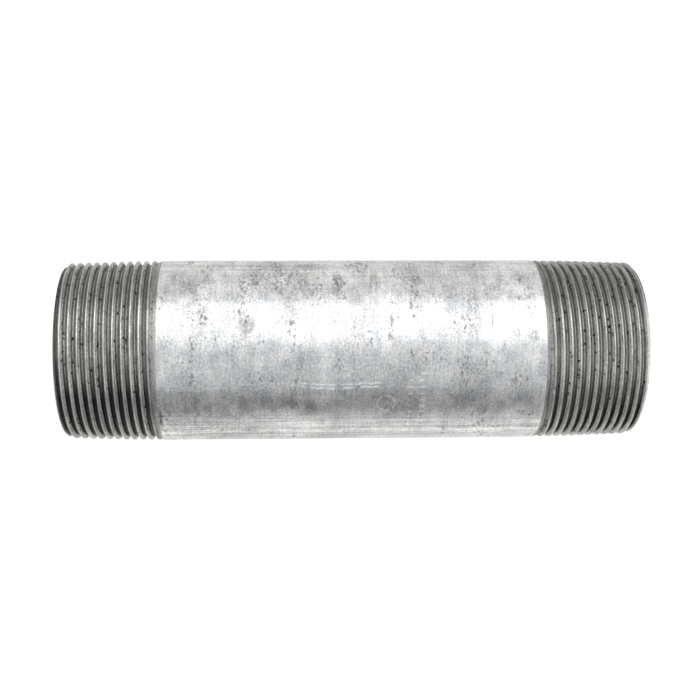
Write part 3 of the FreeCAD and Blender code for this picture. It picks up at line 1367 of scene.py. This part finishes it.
@dataclass
class Studio:
    """The sheet, the light, the room and the camera.

    The pipe's place in the camera's view is in millimetres. Each of the room's shades is an angle about the
    pipe from its top towards -Y, in degrees, then how bright the room is there, and how blue.
    """

    floor_height: float
    floor_size: float = 6.0
    pipe_in_view: Triple = (0.22, 0.20, -321.3)
    lens: float = 60.43
    sensor: float = 36.0
    swing: float = math.radians(2.9)
    roll: float = math.radians(0.3)
    room_shades: tuple[Triple, ...] = (
        (-180.0, 1.0, 0.0),
        (-62.0, 1.0, 0.0),
        (0.0, 0.92, 0.02),
        (46.0, 0.87, 0.02),
        (61.0, 0.34, 0.01),
        (90.0, 0.34, 0.01),
        (103.0, 1.0, 0.0),
        (180.0, 1.0, 0.0),
    )

    def sheet(self) -> None:
        """Lays the pale sheet under the pipe."""
        mesh = bpy.data.meshes.new("pale_sheet")
        work = bmesh.new()
        bmesh.ops.create_grid(work, x_segments=8, y_segments=8, size=self.floor_size / 2.0)
        bmesh.ops.translate(work, verts=work.verts, vec=(0.0, 0.0, self.floor_height))
        work.to_mesh(mesh)
        work.free()
        floor = bpy.data.objects.new("pale_sheet", mesh)
        bpy.context.scene.collection.objects.link(floor)
        mesh.materials.append(PaleSheet().material())

    def lamp(
        self, name: str, tilt: float, size: tuple[float, float], distance: float, radiance: float
    ) -> None:
        """Hangs a soft box that faces the pipe.

        Args:
            name: The lamp's name.
            tilt: How far it leans from straight above towards +Y, in radians.
            size: The lamp's length along X and its width, in metres.
            distance: How far away it hangs, in metres.
            radiance: How bright its face is; white paper in full sun is about 1.
        """
        data = bpy.data.lights.new(name, "AREA")
        data.shape = "RECTANGLE"
        data.size, data.size_y = size
        data.energy = radiance * math.pi * size[0] * size[1]
        lamp = bpy.data.objects.new(name, data)
        direction = Vector((0.0, math.sin(tilt), math.cos(tilt)))
        lamp.location = direction * distance
        lamp.rotation_euler = direction.to_track_quat("Z", "Y").to_euler()
        bpy.context.scene.collection.objects.link(lamp)

    def room(self) -> None:
        """Gives the room a pale ceiling and a darker near side, which the barrel mirrors."""
        world = bpy.data.worlds.new("studio_room")
        world.use_nodes = True
        mix = Wiring(world.node_tree)
        place = mix.node("TexCoord", {}).outputs["Generated"]
        _, y, z = mix.node("SeparateXYZ", {0: place}).outputs
        lean = mix.math("ARCTAN2", mix.times(y, -1.0), z)
        turns = {"Value": lean, "From Min": -math.pi, "From Max": math.pi}
        ramp = mix.node("ValToRGB", {"Fac": mix.node("MapRange", turns).outputs["Result"]})
        self.shade(ramp.color_ramp)
        room = mix.node("Background", {"Color": ramp.outputs["Color"]}).outputs[0]
        backdrop = mix.node("Background", {"Color": (1.0, 1.0, 1.0, 1.0)}).outputs[0]
        seen = mix.node("LightPath", {}).outputs["Is Camera Ray"]
        choice = mix.node("MixShader", {0: seen, 1: room, 2: backdrop}).outputs[0]
        mix.node("OutputWorld", {"Surface": choice})
        bpy.context.scene.world = world

    def shade(self, ramp: bpy.types.ColorRamp) -> None:
        """Sets the room's shades on a ramp that runs once round the pipe."""
        ramp.interpolation = "EASE"
        stops = ramp.elements
        stops[0].position = 0.0
        while len(stops) < len(self.room_shades):
            stops.new(0.5)
        for stop, (degrees, shade, tint) in zip(stops, self.room_shades):
            stop.position = 0.5 + degrees / 360.0
            stop.color = (shade * (1.0 - tint), shade, shade * (1.0 + tint), 1.0)

    def camera(self) -> None:
        """Hangs the camera over the pipe, swung a little so that the left end is nearer."""
        data = bpy.data.cameras.new("overhead_camera")
        data.lens = self.lens
        data.sensor_width = self.sensor
        data.clip_start = 0.01
        camera = bpy.data.objects.new("overhead_camera", data)
        turned = Matrix.Rotation(-self.swing, 4, "Y") @ Matrix.Rotation(-self.roll, 4, "Z")
        offset = turned.to_3x3() @ Vector(self.pipe_in_view) * MM
        camera.matrix_world = Matrix.Translation(-offset) @ turned
        bpy.context.scene.collection.objects.link(camera)
        bpy.context.scene.camera = camera

    def build(self) -> None:
        """Sets up everything that isn't the pipe."""
        self.sheet()
        self.lamp("far_soft_box", math.radians(35.5), size=(1.8, 0.79), distance=0.8, radiance=1.4)
        self.room()
        self.camera()
        bpy.context.scene.view_settings.view_transform = "Standard"
        LOG.info("studio: sheet at %.5f m", self.floor_height)


def main() -> None:
    """Builds the pipe nipple piece by piece, and then the studio round it."""
    logging.basicConfig(level=logging.INFO, format="%(name)s %(message)s")
    stock = Stock.from_frame()
    steel = CutSteel().material()
    left = ThreadedEnd(
        End.LEFT,
        stock,
        start_degrees=50.0,
        knocks=(
            Knock(along=1.6, degrees=20.0, long=0.5, wide=1.4, deep=0.32),
            Knock(along=3.75, degrees=17.0, long=0.4, wide=1.2, deep=0.3),
            Knock(along=21.6, degrees=118.0, long=0.35, wide=0.9, deep=-0.2),
        ),
    )
    right = ThreadedEnd(
        End.RIGHT,
        stock,
        start_degrees=130.0,
        torn_and_lit_reach=92.0,
        torn_and_lit_fade=0.8,
        chamfer_darkening=-0.25,
        far_side_painted_light_and_shade=0.11,
        knocks=(
            Knock(along=25.1, degrees=117.0, long=0.5, wide=0.9, deep=0.4),
            Knock(along=0.6, degrees=95.0, long=0.5, wide=0.8, deep=0.12),
            Knock(along=0.6, degrees=101.0, long=0.5, wide=0.6, deep=0.10),
        ),
    )
    for piece in (left.build(), right.build(), PipeWall(stock).build()):
        settle(piece, "steel_pipe", Coat.CUT_STEEL, steel)
    smudges = (
        Smudge(along=-15.8, degrees=35.0, long=2.2, wide=1.9, dark=0.42),
        Smudge(along=-23.5, degrees=35.0, long=3.5, wide=2.0, dark=0.22),
        Smudge(along=-11.0, degrees=37.0, long=2.5, wide=1.8, dark=0.2),
        Smudge(along=-27.3, degrees=-16.0, long=2.4, wide=2.8, dark=0.45),
        Smudge(along=-38.5, degrees=-19.0, long=1.6, wide=3.2, dark=0.3),
        Smudge(along=-12.8, degrees=-46.0, long=1.4, wide=4.2, dark=0.34),
        Smudge(along=-4.3, degrees=-44.0, long=1.6, wide=4.6, dark=0.4),
        Smudge(along=5.3, degrees=-46.0, long=1.6, wide=4.2, dark=0.36),
        Smudge(along=16.3, degrees=-48.0, long=1.8, wide=1.8, dark=0.4),
        Smudge(along=30.3, degrees=-30.0, long=1.7, wide=3.0, dark=0.34),
        Smudge(along=35.1, degrees=-17.5, long=0.22, wide=2.0, dark=0.6),
        Smudge(along=33.4, degrees=9.0, long=0.2, wide=1.4, dark=0.5),
        Smudge(along=-50.1, degrees=48.0, long=0.7, wide=5.0, dark=0.7),
        Smudge(along=45.6, degrees=-8.0, long=1.6, wide=1.8, dark=0.4),
        Smudge(along=41.4, degrees=-10.0, long=1.0, wide=1.5, dark=0.3),
        Smudge(along=44.0, degrees=-33.0, long=2.6, wide=1.2, dark=0.3),
        Smudge(along=24.0, degrees=-24.0, long=1.2, wide=2.2, dark=0.25),
        Smudge(along=8.5, degrees=-13.0, long=0.5, wide=2.8, dark=0.35),
        Smudge(along=-5.5, degrees=-20.0, long=1.5, wide=2.0, dark=0.25),
    )
    barrel_finish = BarrelZinc(stock.outer_radius, smudges).material()
    settle(ZincBarrel(stock).build(), "barrel_zinc", Coat.ZINC_OUTSIDE, barrel_finish)
    settle(ZincBore(stock).build(), "bore_zinc", Coat.ZINC_INSIDE, BoreZinc().material())
    settle(WeldBead(stock).build(), "weld_bead", Coat.WELD_STEEL, WeldSteel().material())
    Studio(floor_height=-stock.outer_radius * MM).build()


if __name__ == "__main__":
    main()
